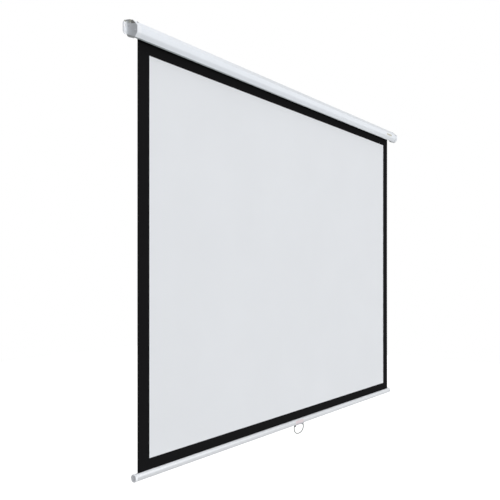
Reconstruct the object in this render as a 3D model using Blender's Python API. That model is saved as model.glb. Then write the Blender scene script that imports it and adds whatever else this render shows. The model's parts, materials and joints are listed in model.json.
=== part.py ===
"""A pull-down projector screen with a 100 inch 4:3 picture, hung on a wall and drawn down.

Metres. +X runs to the right as a viewer sees the picture, -Y points at the viewer and +Z is up.
The origin is on the case's rear face, halfway along its length and halfway up it.
"""

import math

import bmesh
import bpy
from mathutils import Vector

# Clearances
SEAT_GAP = 0.0003  # left between pieces that touch or turn in each other
THRUST_GAP = 0.0005  # end play of what turns

# Cloth
PICTURE_WIDTH = 2.032
PICTURE_HEIGHT = 1.524
SIDE_BORDER = 0.060
TOP_BORDER = 0.033  # black band that shows below the case
BOTTOM_BORDER = 0.0422
CLOTH_THICKNESS = 0.0004
CLOTH_DEPTH = 0.013  # the hanging cloth, in front of the case's rear face

# Case: a folded sheet with a flat top, a flat front and a slope above and below the front
CASE_DEPTH = 0.056
CASE_HEIGHT = 0.0685
CASE_WALL = 0.0012
CASE_BEND = 0.002  # outer radius of each fold
FRONT_BEND = 0.008  # outer radius of the two folds of the front
TOP_WIDTH = 0.028  # flat top, from the rear face forwards
FRONT_TOP = 0.0404  # upper edge of the flat front, above the lip
FRONT_FOOT = 0.0171
SLOPE_FOOT = 0.0031  # where the lower slope ends, above the lip
SLOPE_DEPTH = 0.0134
LIP_DEPTH = 0.0213  # lip in front of the cloth, behind the case's front
REAR_FOOT = 0.0202  # lower end of the rear wall, above the lip
REAR_LIP = 0.006
HEM = 0.0045  # edges turned back up inside
LEFT_MARGIN = 0.0405  # from the cloth's edge to the end of the case
RIGHT_MARGIN = 0.059

# End caps
FLANGE_THICKNESS = 0.003
CAP_REAR_FOOT = 0.015  # lower end of the flange's rear edge, above the lip
CAP_HEEL_DEPTH = 0.0075  # the flange's lower rear corner
CAP_HEEL_HEIGHT = 0.0092
CAP_LIP_DROP = 0.0012  # the flange's lowest point, below the lip
SPIGOT_DEPTH = 0.035
SPIGOT_WALL = 0.002
SPIGOT_REACH = 0.6  # share of the lower slope that the spigot lines
BLIND_WALL = 0.001  # left at the bottom of a blind hole
BOSS_RADIUS = 0.008
RIB_THICKNESS = 0.002
RIB_DEPTH = 0.008
SCREW_BOSS_RADIUS = 0.0042
SCREW_BOSS_DEPTH = 0.010

# Wall brackets
BRACKET_SHEET = 0.0015
SKIRT_WIDTH = 0.020  # part of the bracket that wraps the case's front
PLATE_REAR_TOP = 0.0590  # upper edge of the plate behind the gusset's tip, above the lip
PLATE_FRONT_TOP = 0.0500
WALL_STANDOFF = 0.0025  # wall behind the case's rear face
EAR_WIDTH = 0.017
EAR_FOOT = 0.0205
EAR_CORNER = 0.011
EAR_BEND = 0.002  # inner radius of the fold between plate and ear
EAR_CUT = (0.0075, 0.013)  # slanted upper corner, across and down
EAR_CUT_ROUNDING = 0.004
EAR_HOLE_RADIUS = 0.0022
EAR_HOLE_HEIGHT = 0.0275
KEYHOLE_RADIUS = 0.0035
KEYHOLE_SLOT = 0.0038
KEYHOLE_HEIGHT = 0.0495
KEYHOLE_REACH = 0.0065
GUSSET_RISE = 0.003  # the gusset's upper face, above the case
GUSSET_DEPTH = 0.022  # its tip, in front of the case's rear face
GUSSET_BEND = 0.0008
GUSSET_HOLE_RADIUS = 0.0015
GUSSET_HOLE = (0.0042, 0.0020)  # out from the plate, in front of the case's rear face

# Screws
SCREW_RADIUS = 0.002
SCREW_LENGTH = 0.011
SCREW_HEAD_RADIUS = 0.0038
SCREW_HEAD_HEIGHT = 0.0017
UPPER_SCREW = (0.014, 0.048)  # depth in front of the rear face, height above the lip
LOWER_SCREW = (0.045, 0.025)
CASE_SCREW_INSET = 0.0238
CASE_SCREW_DROP = 0.0065  # down the upper slope from the case's top edge
CASE_SCREW_RADIUS = 0.0015
CASE_SCREW_LENGTH = 0.007
CASE_SCREW_HEAD = 0.003

# Roller
TUBE_RADIUS = 0.0165
TUBE_WALL = 0.0012
TUBE_LEFT_END = 0.011  # past the cloth's edge
TUBE_RIGHT_END = 0.010
ROLLER_BELOW_MIDDLE = 0.003
WRAP_TURNS = 1.25  # cloth left on the roller when the screen is down
WRAP_PITCH = 0.00075
PLUG_FLANGE = 0.003
PLUG_LEAD = 0.001  # chamfer on a plug
IDLE_PLUG_DEPTH = 0.025
LOCK_PLUG_DEPTH = 0.028
IDLE_PIN_RADIUS = 0.003
IDLE_PIN_REACH = 0.018

# Spring and its shaft
SHAFT_RADIUS = 0.004
SHAFT_LENGTH = 0.400
TANG_THICKNESS = 0.005
BUSH_LENGTH = 0.010
BUSH_INSET = 0.003
ANCHOR_LENGTH = 0.012
ANCHOR_RADIUS = 0.0105
SPRING_RADIUS = 0.0095
SPRING_WIRE = 0.001  # radius of the wire
SPRING_TURNS = 24
SPRING_POINTS = 9  # in each turn

# Ratchet
NOTCHES = 4
HUB_RADIUS = 0.008
NOTCH_DEPTH = 0.0022
NOTCH_ANGLE = math.radians(26)
PAWL_THICKNESS = 0.004
PAWL_PIVOT_RADIUS = 0.012  # from the roller's axis
PAWL_PIN_RADIUS = 0.0018
PAWL_PIN_DEPTH = 0.006
PAWL_PIN_HEAD = 0.003
PAWL_PIN_HEAD_HEIGHT = 0.0012
PAWL_EYE_WALL = 0.0013
PAWL_ARM = 0.0038
PAWL_SPAN = math.radians(58)  # from the pivot to the nose's far edge, about the roller's axis
PAWL_NOSE = math.radians(12)
PAWL_BITE = 0.0016  # nose in the notch
PAWL_SWING = math.radians(15)

# Bottom bar
BAR_RADIUS = 0.0145
BAR_WALL = 0.0015
BAR_SLOT = 0.004
BAR_OVERHANG = 0.020  # past the cloth's edges
HEM_ROD_RADIUS = 0.003
BAR_PLUG_RADIUS = 0.015
BAR_PLUG_THICKNESS = 0.008
BAR_PLUG_ROUNDING = 0.002
BAR_PLUG_RIM = 0.0035  # round the dish in its end
BAR_PLUG_DISH = 0.0015
BAR_PLUG_DEPTH = 0.010

# Pull handle
HANDLE_X = 0.0137
SADDLE_LENGTH = 0.070
SADDLE_WALL = 0.002
SADDLE_WRAP = math.radians(52)
PIVOT_DROP = 0.0195  # handle's axis below the bar's
LUG_THICKNESS = 0.003
LUG_RADIUS = 0.0048
WIRE_RADIUS = 0.00225
WIRE_STUB = 0.001  # wire end past the lug
WIRE_ELBOW = 0.0055
HANDLE_WIDTH = 0.0905
HANDLE_DROP = 0.0445  # lowest point below the handle's axis
HANDLE_SHOULDER = 0.010
HANDLE_FULLNESS = 2.25  # 2 makes the bow an ellipse, more makes it squarer
SADDLE_SCREW_INSET = 0.017
SADDLE_SCREW_LENGTH = 0.006

# Fineness of round shapes
ROUND_SIDES = 32
FINE_SIDES = 48
BEND_STEPS = 3
MERGE = 1e-6
SHARP_ANGLE = math.radians(35)

# Places that follow from the sizes
lip_z = -CASE_HEIGHT / 2
top_z = CASE_HEIGHT / 2
ceiling_z = top_z + GUSSET_RISE
cloth_width = PICTURE_WIDTH + 2 * SIDE_BORDER
end_x = (cloth_width + LEFT_MARGIN + RIGHT_MARGIN) / 2
flange_outer = end_x - BRACKET_SHEET - SEAT_GAP
flange_inner = flange_outer - FLANGE_THICKNESS
profile_end = flange_inner - SEAT_GAP
cloth_left = -end_x + LEFT_MARGIN
cloth_right = end_x - RIGHT_MARGIN
wrap_core = TUBE_RADIUS + SEAT_GAP + CLOTH_THICKNESS / 2
wrap_outer = wrap_core + WRAP_PITCH * WRAP_TURNS
roller_y = -CLOTH_DEPTH - wrap_outer
roller_z = -ROLLER_BELOW_MIDDLE
tube_left = cloth_left - TUBE_LEFT_END
tube_right = cloth_right + TUBE_RIGHT_END
plug_radius = TUBE_RADIUS - TUBE_WALL - SEAT_GAP
idle_plug_face = tube_left - SEAT_GAP - PLUG_FLANGE
lock_plug_face = tube_right + SEAT_GAP + PLUG_FLANGE
ratchet_start = lock_plug_face + THRUST_GAP
ratchet_end = ratchet_start + PAWL_THICKNESS
shaft_end = flange_outer - BLIND_WALL - SEAT_GAP
shaft_start = shaft_end - SHAFT_LENGTH
picture_top = lip_z - TOP_BORDER
picture_bottom = picture_top - PICTURE_HEIGHT
bar_z = picture_bottom - BOTTOM_BORDER - BAR_RADIUS
bar_left = cloth_left - BAR_OVERHANG
bar_right = cloth_right + BAR_OVERHANG
bar_bore = BAR_RADIUS - BAR_WALL
wall_y = WALL_STANDOFF

# The case's section as (y, z) corners, from the rear foot over the top to the lip
rear_foot = Vector((0, lip_z + REAR_FOOT))
front_lip = Vector((-CASE_DEPTH + LIP_DEPTH, lip_z))
slope_foot = Vector((-CASE_DEPTH + SLOPE_DEPTH, lip_z + SLOPE_FOOT))
section = [
    rear_foot,
    Vector((0, top_z)),
    Vector((-TOP_WIDTH, top_z)),
    Vector((-CASE_DEPTH, lip_z + FRONT_TOP)),
    Vector((-CASE_DEPTH, lip_z + FRONT_FOOT)),
    slope_foot,
    front_lip,
]
section_bends = [CASE_BEND, CASE_BEND, CASE_BEND, FRONT_BEND, FRONT_BEND, CASE_BEND, CASE_BEND]
upper_slope = (section[3] - section[2]).normalized()
upper_slope_out = Vector((upper_slope.y, -upper_slope.x))


def srgb(red, green, blue):
    """A colour written in 8-bit steps, as the linear values that a shader takes."""
    shares = [value / 255 for value in (red, green, blue)]
    linear = [s / 12.92 if s <= 0.04045 else ((s + 0.055) / 1.055) ** 2.4 for s in shares]
    return (*linear, 1)


def finish(name, colour, roughness, metallic=0.0):
    """A plain Principled material."""
    material = bpy.data.materials.new(name)
    material.use_nodes = True
    shader = material.node_tree.nodes["Principled BSDF"]
    shader.inputs["Base Color"].default_value = colour
    shader.inputs["Roughness"].default_value = roughness
    shader.inputs["Metallic"].default_value = metallic
    material.diffuse_color = colour
    return material


def clear_scene():
    for item in list(bpy.data.objects):
        bpy.data.objects.remove(item, do_unlink=True)


def axis_empty(name, location, parent=None):
    """An empty on a joint's axis, which carries the pieces that move about it."""
    empty = bpy.data.objects.new(name, None)
    empty.empty_display_size = 0.02
    empty.location = location
    empty.parent = parent
    bpy.context.scene.collection.objects.link(empty)
    return empty


def place(name, mesh, material, parent, smooth=True):
    """Links a finished bmesh as an object."""
    bmesh.ops.recalc_face_normals(mesh, faces=mesh.faces)
    data = bpy.data.meshes.new(name)
    mesh.to_mesh(data)
    mesh.free()
    if smooth:
        data.shade_smooth()
        data.set_sharp_from_angle(angle=SHARP_ANGLE)
    piece = bpy.data.objects.new(name, data)
    if material:
        data.materials.append(material)
    piece.parent = parent
    bpy.context.scene.collection.objects.link(piece)
    return piece


def helper(piece):
    """Marks a cutter or a shape that only a Boolean uses."""
    piece.hide_render = True
    piece.display_type = "WIRE"
    return piece


def boolean(target, tool, operation):
    change = target.modifiers.new(f"{operation.lower()} {tool.name}", "BOOLEAN")
    change.operation = operation
    change.object = helper(tool)
    change.solver = "EXACT"


def join(target, *tools):
    for tool in tools:
        boolean(target, tool, "UNION")


def cut(target, *tools):
    for tool in tools:
        boolean(target, tool, "DIFFERENCE")


def for_each(points, radius):
    """One radius for each point, from a single one or from a list of them."""
    return radius if isinstance(radius, list) else [radius] * len(points)


def rounded(points, radii, closed=False):
    """The path with each corner turned into an arc."""
    count = len(points)
    path = []
    for index, (corner, radius) in enumerate(zip(points, for_each(points, radii))):
        if radius == 0 or (not closed and index in (0, count - 1)):
            path.append(corner)
            continue
        before = (points[index - 1] - corner).normalized()
        after = (points[(index + 1) % count] - corner).normalized()
        half = before.angle(after) / 2
        centre = corner + (before + after).normalized() * radius / math.sin(half)
        first = corner + before * radius / math.tan(half) - centre
        last = corner + after * radius / math.tan(half) - centre
        turn = first.angle_signed(last)
        for step in range(BEND_STEPS + 1):
            angle = -turn * step / BEND_STEPS
            path.append(centre + turned_by(first, angle))
    return path


def turned_by(vector, angle):
    """A 2D vector turned counterclockwise."""
    cosine, sine = math.cos(angle), math.sin(angle)
    return Vector((vector.x * cosine - vector.y * sine, vector.x * sine + vector.y * cosine))


def inset(points, distance):
    """The open path moved to its left, with its corners kept sharp."""
    moved = []
    for index, corner in enumerate(points):
        ahead = points[min(index + 1, len(points) - 1)] - points[min(index, len(points) - 2)]
        behind = points[max(index, 1)] - points[max(index - 1, 0)]
        first, second = (Vector((-side.y, side.x)).normalized() for side in (behind, ahead))
        middle = (first + second).normalized()
        moved.append(corner + middle * distance / middle.dot(first))
    return moved


def band(points, outer, inner, bends):
    """The closed outline of a folded sheet between two insets of one path."""
    bends = for_each(points, bends)
    face = rounded(inset(points, outer), bends)
    back = rounded(inset(points, inner), [max(bend - (inner - outer), bend / 4) for bend in bends])
    return face + back[::-1]


def circle(radius, sides, centre=(0, 0)):
    turns = [2 * math.pi * index / sides for index in range(sides)]
    return [Vector((centre[0] + radius * math.cos(a), centre[1] + radius * math.sin(a))) for a in turns]


def arc(radius, start, end, steps):
    angles = [start + (end - start) * index / steps for index in range(steps + 1)]
    return [Vector((radius * math.cos(a), radius * math.sin(a))) for a in angles]


def prism(name, outline, start, end, material, parent, along="X", smooth=True):
    """Extrudes an outline along X (points are y, z), Y (points are x, z) or Z (points are x, y)."""
    corner = {
        "X": lambda p, h: (h, p[0], p[1]),
        "Y": lambda p, h: (p[0], h, p[1]),
        "Z": lambda p, h: (p[0], p[1], h),
    }[along]
    mesh = bmesh.new()
    face = mesh.faces.new([mesh.verts.new(corner(point, start)) for point in outline])
    made = bmesh.ops.extrude_face_region(mesh, geom=[face])["geom"]
    far = [item for item in made if isinstance(item, bmesh.types.BMVert)]
    bmesh.ops.translate(mesh, verts=far, vec=corner((0, 0), end - start))
    return place(name, mesh, material, parent, smooth)


def turned(name, profile, material, parent, sides=ROUND_SIDES):
    """Spins (x, radius) points about the X axis: an open line from axis to axis, or a closed ring."""
    mesh = bmesh.new()
    points = [mesh.verts.new((x, 0, radius)) for x, radius in profile]
    pairs = list(zip(points, points[1:]))
    if profile[0][1] > MERGE:
        pairs.append((points[-1], points[0]))
    edges = [mesh.edges.new(pair) for pair in pairs]
    bmesh.ops.spin(
        mesh,
        geom=points + edges,
        cent=(0, 0, 0),
        axis=(1, 0, 0),
        angle=2 * math.pi,
        steps=sides,
        use_merge=True,
    )
    bmesh.ops.remove_doubles(mesh, verts=mesh.verts, dist=MERGE)
    return place(name, mesh, material, parent)


def block(name, low, high, material, parent):
    """A plain box between two corners."""
    outline = [(low[1], low[2]), (high[1], low[2]), (high[1], high[2]), (low[1], high[2])]
    return prism(name, outline, low[0], high[0], material, parent, smooth=False)


def rod(name, radius, start, end, parent, centre=(0, 0), sides=ROUND_SIDES):
    """A plain cylinder along X, for joining or cutting."""
    return prism(name, circle(radius, sides, centre), start, end, None, parent)


def swept_wire(name, points, radius, resolution, material, parent):
    """A round wire along the points."""
    curve = bpy.data.curves.new(name, "CURVE")
    curve.dimensions = "3D"
    curve.bevel_depth = radius
    curve.bevel_resolution = resolution
    curve.use_fill_caps = True
    spline = curve.splines.new("POLY")
    spline.points.add(len(points) - 1)
    for point, place_at in zip(spline.points, points):
        point.co = (*place_at, 1)
    curve.materials.append(material)
    wire = bpy.data.objects.new(name, curve)
    wire.parent = parent
    bpy.context.scene.collection.objects.link(wire)
    return wire


def face_outwards(piece, location, direction):
    """Sets a piece that was made along X at a place, pointing another way."""
    piece.location = location
    piece.rotation_euler = Vector((1, 0, 0)).rotation_difference(Vector(direction)).to_euler()
    return piece


def screw(name, location, direction, radius, length, head, material, parent):
    """A pan-head screw whose head seats at the location and whose shank runs into the work."""
    tip = radius / 2
    height = SCREW_HEAD_HEIGHT * head / SCREW_HEAD_RADIUS
    profile = [
        (-length, 0),
        (-length, radius - tip),
        (-length + tip, radius),
        (SEAT_GAP, radius),
        (SEAT_GAP, head),
        (SEAT_GAP + height * 0.5, head),
        (SEAT_GAP + height * 0.85, head * 0.8),
        (SEAT_GAP + height, head * 0.45),
        (SEAT_GAP + height, 0),
    ]
    return face_outwards(turned(name, profile, material, parent, 16), location, direction)


def screw_hole(name, location, direction, radius, length, parent):
    """The cutter for a screw's clearance hole, past its tip and past its head."""
    cutter = rod(name, radius + SEAT_GAP, -length - SEAT_GAP, 4 * radius, parent, sides=16)
    return face_outwards(cutter, location, direction)


def two_flats(radius, thickness):
    """A round outline milled flat above and below."""
    half = math.asin(thickness / 2 / radius)
    right = arc(radius, -half, half, 6)
    left = arc(radius, math.pi - half, math.pi + half, 6)
    return right + left


def make_case(material, frame):
    """The folded case, open along its lower rear for the cloth and the bar."""
    toward_rear = (rear_foot - front_lip).normalized()
    slot_rear = rear_foot - toward_rear * REAR_LIP
    hem_up = Vector((0, HEM))
    path = [slot_rear + hem_up, slot_rear, *section, front_lip + hem_up]
    bends = [CASE_BEND, CASE_BEND, *section_bends, CASE_BEND]
    outline = band(path, 0, CASE_WALL, bends)
    case = prism("case_profile", outline, -profile_end, profile_end, material, frame)
    for side in (-1, 1):
        location, direction = case_screw_place(side)
        hole = screw_hole(
            f"case_hole_{side}", location, direction, CASE_SCREW_RADIUS, CASE_SCREW_LENGTH, frame
        )
        cut(case, hole)
    return case


def case_screw_place(side):
    """Where a case screw's head seats on the upper slope, and which way it faces."""
    seat = section[2] + upper_slope * CASE_SCREW_DROP
    location = (side * (end_x - CASE_SCREW_INSET), seat.x, seat.y)
    return location, (0, upper_slope_out.x, upper_slope_out.y)


def bracket_screw_places(side):
    """Where the two bracket screws seat on an end, and which way they face."""
    for depth, height in (UPPER_SCREW, LOWER_SCREW):
        yield (side * end_x, -depth, lip_z + height), (side, 0, 0)


def make_end_cap(name, side, seat, material, frame, roller_axis):
    """A moulded cap: flange, spigot inside the case, ribs, screw bosses and the roller's boss.

    seat is the cutter of the hole that holds the idle pin or the spring shaft.
    """
    low_lip = front_lip - Vector((0, CAP_LIP_DROP))
    heel = Vector((-CAP_HEEL_DEPTH, lip_z + CAP_HEEL_HEIGHT))
    corners = [Vector((0, lip_z + CAP_REAR_FOOT)), *section[1:6], low_lip, heel]
    outline = rounded(corners, [*section_bends, CASE_BEND], closed=True)
    cap = prism(name, outline, side * flange_inner, side * flange_outer, material, frame)
    overlap = side * (flange_inner + FLANGE_THICKNESS / 2)
    start = section[0] + Vector((0, HEM + CASE_BEND))
    end = section[4].lerp(section[5], SPIGOT_REACH)
    spigot_path = [start, *section[1:5], end]
    clear = CASE_WALL + SEAT_GAP
    spigot_bends = [max(bend - clear, CASE_BEND / 2) for bend in section_bends[:6]]
    spigot = prism(
        f"{name}_spigot",
        band(spigot_path, clear, clear + SPIGOT_WALL, spigot_bends),
        overlap,
        side * (flange_inner - SPIGOT_DEPTH),
        None,
        frame,
    )
    boss_face = -idle_plug_face if side < 0 else ratchet_end
    boss = rod(f"{name}_boss", BOSS_RADIUS, overlap, side * (boss_face + THRUST_GAP), roller_axis)
    rib_reach = side * (flange_inner - RIB_DEPTH)
    rib_low, rib_high = min(overlap, rib_reach), max(overlap, rib_reach)
    half = RIB_THICKNESS / 2
    inside = clear + SPIGOT_WALL / 2
    upright = block(
        f"{name}_upright",
        (rib_low, roller_y - half, roller_z),
        (rib_high, roller_y + half, rib_top(inside)),
        None,
        frame,
    )
    across = block(
        f"{name}_across",
        (rib_low, -CASE_DEPTH + inside, roller_z - half),
        (rib_high, -inside, roller_z + half),
        None,
        frame,
    )
    join(cap, spigot, boss, upright, across)
    holes = []
    for number, (location, direction) in enumerate(bracket_screw_places(side), 1):
        centre = (location[1], location[2])
        pad_end = side * (flange_inner - SCREW_BOSS_DEPTH)
        join(cap, rod(f"{name}_pad_{number}", SCREW_BOSS_RADIUS, overlap, pad_end, frame, centre, 20))
        hole = f"{name}_hole_{number}"
        holes.append(screw_hole(hole, location, direction, SCREW_RADIUS, SCREW_LENGTH, frame))
    location, direction = case_screw_place(side)
    hole = f"{name}_case_hole"
    holes.append(screw_hole(hole, location, direction, CASE_SCREW_RADIUS, CASE_SCREW_LENGTH, frame))
    cut(cap, seat, *holes)
    return cap


def rib_top(inside):
    """Height of the spigot's roof or slope above the roller's axis."""
    roof = top_z - inside
    corner = section[2] - upper_slope_out * inside
    on_slope = corner.y + (roller_y - corner.x) * upper_slope.y / upper_slope.x
    return min(roof, on_slope)


def make_bracket(name, side, material, frame):
    """A pressed bracket: end plate, skirt round the case's front, ear on the wall and gusset above."""
    outside = -SEAT_GAP - BRACKET_SHEET
    shell = inset([section[2], section[3], section[4], section[5]], outside)
    slope = (shell[1] - shell[0]).normalized()
    front_top = shell[0] + slope * ((lip_z + PLATE_FRONT_TOP - shell[0].y) / slope.y)
    plate_back = end_x - BRACKET_SHEET
    plate_rear = wall_y - BRACKET_SHEET - EAR_BEND
    skirt_bend = FRONT_BEND + SEAT_GAP + BRACKET_SHEET
    wrapped = [front_top, *shell[1:]]
    rear_edge = [Vector((plate_rear, lip_z + EAR_FOOT)), Vector((plate_rear, lip_z + PLATE_REAR_TOP))]
    outline = rear_edge + rounded(wrapped, skirt_bend)
    bracket = prism(name, outline, side * plate_back, side * end_x, material, frame)
    skirt_outline = band(wrapped, 0, BRACKET_SHEET, skirt_bend)
    skirt = prism(f"{name}_skirt", skirt_outline, side * end_x, side * (end_x - SKIRT_WIDTH), None, frame)
    ear = make_ear(name, side, plate_back, frame)
    gusset = make_gusset(name, side, plate_back, frame)
    join(bracket, skirt, ear, gusset)

    hole_x = side * (end_x + EAR_WIDTH / 2)
    through = (wall_y - 3 * BRACKET_SHEET, wall_y + 2 * BRACKET_SHEET)
    round_hole = circle(EAR_HOLE_RADIUS, 16, (hole_x, lip_z + EAR_HOLE_HEIGHT))
    key_hole = keyhole(hole_x, lip_z + KEYHOLE_HEIGHT)
    ceiling_hole = circle(GUSSET_HOLE_RADIUS, 16, (side * (end_x + GUSSET_HOLE[0]), -GUSSET_HOLE[1]))
    above = (ceiling_z - 2 * BRACKET_SHEET, ceiling_z + BRACKET_SHEET)
    cut(
        bracket,
        prism(f"{name}_round_hole", round_hole, *through, None, frame, "Y"),
        prism(f"{name}_keyhole", key_hole, *through, None, frame, "Y"),
        prism(f"{name}_ceiling_hole", ceiling_hole, *above, None, frame, "Z"),
        *(
            screw_hole(f"{name}_hole_{number}", location, direction, SCREW_RADIUS, SCREW_LENGTH, frame)
            for number, (location, direction) in enumerate(bracket_screw_places(side), 1)
        ),
    )
    return bracket


def mirrored(points, side):
    return [Vector((side * point[0], point[1])) for point in points]


def make_ear(name, side, plate_back, frame):
    """The bracket's edge folded outwards onto the wall, with its outer corners cut and rounded."""
    outer = end_x + EAR_WIDTH
    foot = lip_z + EAR_FOOT
    lap = wall_y - 2 * BRACKET_SHEET - EAR_BEND
    path = [Vector((outer, wall_y)), Vector((plate_back, wall_y)), Vector((plate_back, lap))]
    fold = mirrored(band(path, 0, BRACKET_SHEET, EAR_BEND + BRACKET_SHEET), side)
    ear = prism(f"{name}_ear", fold, foot - BRACKET_SHEET, ceiling_z + BRACKET_SHEET, None, frame, "Z")
    inner = plate_back - BRACKET_SHEET
    across, down = EAR_CUT
    corners = [(inner, foot), (outer, foot), (outer, ceiling_z - down), (outer - across, ceiling_z)]
    corners.append((inner, ceiling_z))
    outline = rounded([Vector(corner) for corner in corners], [0, EAR_CORNER, EAR_CUT_ROUNDING, 0, 0])
    through = (wall_y - 2 * EAR_WIDTH, wall_y + BRACKET_SHEET)
    shape = prism(f"{name}_ear_shape", mirrored(outline, side), *through, None, frame, "Y")
    boolean(ear, shape, "INTERSECT")
    return ear


def make_gusset(name, side, plate_back, frame):
    """The bracket's upper edge folded outwards under the ceiling, cut to a triangle."""
    outer = end_x + EAR_WIDTH - EAR_CUT[0]
    low = lip_z + PLATE_REAR_TOP - 2 * BRACKET_SHEET
    beyond = end_x + EAR_WIDTH
    path = [Vector((beyond, ceiling_z)), Vector((plate_back, ceiling_z)), Vector((plate_back, low))]
    fold = mirrored(band(path, 0, BRACKET_SHEET, GUSSET_BEND + BRACKET_SHEET), side)
    in_ear = wall_y - BRACKET_SHEET / 2
    gusset = prism(f"{name}_gusset", fold, -GUSSET_DEPTH - BRACKET_SHEET, in_ear, None, frame, "Y")
    tip = Vector((plate_back, -GUSSET_DEPTH))
    edge = Vector((outer, wall_y)) - tip
    past = edge / 4
    first, last = tip - past, tip + edge + past
    right, in_front = beyond + BRACKET_SHEET, -2 * GUSSET_DEPTH
    waste = [first, last, (right, last.y), (right, in_front), (first.x, in_front)]
    span = (low - BRACKET_SHEET, ceiling_z + BRACKET_SHEET)
    cut(gusset, prism(f"{name}_gusset_waste", mirrored(waste, side), *span, None, frame, "Z"))
    return gusset


def keyhole(x, z):
    """A round hole with a narrower slot that rises from it, as (x, z) points."""
    half = KEYHOLE_SLOT / 2
    opening = math.asin(half / KEYHOLE_RADIUS)
    around = arc(KEYHOLE_RADIUS, math.pi / 2 + opening, 2.5 * math.pi - opening, 20)
    top = arc(half, 0, math.pi, 8)
    points = around + [point + Vector((0, KEYHOLE_REACH)) for point in top]
    return [point + Vector((x, z)) for point in points]


def make_roller_tube(material, axis):
    bore = TUBE_RADIUS - TUBE_WALL
    profile = [(tube_left, bore), (tube_left, TUBE_RADIUS), (tube_right, TUBE_RADIUS), (tube_right, bore)]
    return turned("roller_tube", profile, material, axis, FINE_SIDES)


def make_cloth_roll(material, axis):
    """The turns of cloth that stay wound, from the rear tangent over the top and inwards."""
    steps = round(WRAP_TURNS * FINE_SIDES)
    outer, inner = [], []
    for index in range(steps + 1):
        angle = 2 * math.pi * WRAP_TURNS * index / steps
        radius = wrap_outer - WRAP_PITCH * angle / (2 * math.pi)
        heading = Vector((math.cos(angle), math.sin(angle)))
        outer.append(heading * (radius + CLOTH_THICKNESS / 2))
        inner.append(heading * (radius - CLOTH_THICKNESS / 2))
    print(f"Least gap between turns of cloth: {1000 * (WRAP_PITCH - CLOTH_THICKNESS):.2f} mm")
    return prism("cloth_roll", outer + inner[::-1], cloth_left, cloth_right, material, axis)


def make_idle_plug(material, axis):
    """The left plug, pressed into the tube, which turns on the idle pin."""
    bore = IDLE_PIN_RADIUS + SEAT_GAP
    inner = tube_left + IDLE_PLUG_DEPTH
    seat = tube_left - SEAT_GAP
    lead = plug_radius - PLUG_LEAD
    profile = [
        (idle_plug_face, bore),
        (idle_plug_face, TUBE_RADIUS - PLUG_LEAD),
        (idle_plug_face + PLUG_LEAD, TUBE_RADIUS),
        (seat, TUBE_RADIUS),
        (seat, plug_radius),
        (inner - 2 * PLUG_LEAD, plug_radius),
        (inner, lead),
        (inner, bore),
    ]
    return turned("idle_plug", profile, material, axis)


def make_idle_pin(material, axis):
    """The fixed pin that the roller's left end turns on."""
    start = -flange_outer + BLIND_WALL + SEAT_GAP
    end = idle_plug_face + IDLE_PIN_REACH
    nose = IDLE_PIN_RADIUS / 4
    profile = [
        (start, 0),
        (start, IDLE_PIN_RADIUS),
        (end - nose, IDLE_PIN_RADIUS),
        (end, IDLE_PIN_RADIUS - nose),
        (end, 0),
    ]
    return turned("idle_pin", profile, material, axis)


def make_lock_plug(material, axis, pawl_axes):
    """The right plug, which turns on the spring shaft and carries the pawls."""
    bore = SHAFT_RADIUS + SEAT_GAP
    inner = tube_right - LOCK_PLUG_DEPTH
    seat = tube_right + SEAT_GAP
    profile = [
        (inner, bore),
        (inner, plug_radius - PLUG_LEAD),
        (inner + 2 * PLUG_LEAD, plug_radius),
        (seat, plug_radius),
        (seat, TUBE_RADIUS),
        (lock_plug_face, TUBE_RADIUS),
        (lock_plug_face, bore),
    ]
    plug = turned("lock_plug", profile, material, axis)
    for number, pawl_axis in enumerate(pawl_axes, 1):
        start = lock_plug_face - PAWL_PIN_DEPTH - SEAT_GAP
        hole = f"pawl_pin_hole_{number}"
        cut(plug, rod(hole, PAWL_PIN_RADIUS + SEAT_GAP, start, ratchet_end, pawl_axis, sides=16))
    return plug


def make_shaft(material, axis):
    """The fixed shaft inside the spring, milled to two flats where the ratchet and the right cap hold it."""
    nose = SHAFT_RADIUS / 4
    profile = [
        (shaft_start, 0),
        (shaft_start, SHAFT_RADIUS - nose),
        (shaft_start + nose, SHAFT_RADIUS),
        (shaft_end, SHAFT_RADIUS),
        (shaft_end, 0),
    ]
    shaft = turned("spring_shaft", profile, material, axis, 24)
    past = 2 * SHAFT_RADIUS
    for side in (-1, 1):
        low, high = sorted((side * TANG_THICKNESS / 2, side * past))
        first, last = (lock_plug_face, -past, low), (shaft_end + past, past, high)
        cut(shaft, block(f"shaft_flat_{side}", first, last, None, axis))
    return shaft


def flats_hole(name, start, end, axis):
    """The cutter of a hole that holds the shaft's two flats."""
    outline = two_flats(SHAFT_RADIUS + SEAT_GAP, TANG_THICKNESS + 2 * SEAT_GAP)
    return prism(name, outline, start, end, None, axis)


def nose_angle():
    """Middle of a pawl's nose about the roller's axis, counted from its pivot."""
    return PAWL_SPAN - PAWL_NOSE / 2


def make_ratchet_hub(material, axis):
    """The fixed notched hub that the pawls drop into."""
    points = []
    root = HUB_RADIUS - NOTCH_DEPTH
    pitch = 2 * math.pi / NOTCHES
    for index in range(NOTCHES):
        middle = math.pi / 2 + nose_angle() + index * pitch
        points += arc(root, middle - NOTCH_ANGLE / 2, middle + NOTCH_ANGLE / 2, 3)
        points += arc(HUB_RADIUS, middle + NOTCH_ANGLE / 2, middle + pitch - NOTCH_ANGLE / 2, 6)
    hub = prism("ratchet_hub", points, ratchet_start, ratchet_end, material, axis)
    cut(hub, flats_hole("hub_bore", ratchet_start - SHAFT_RADIUS, ratchet_end + SHAFT_RADIUS, axis))
    return hub


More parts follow.
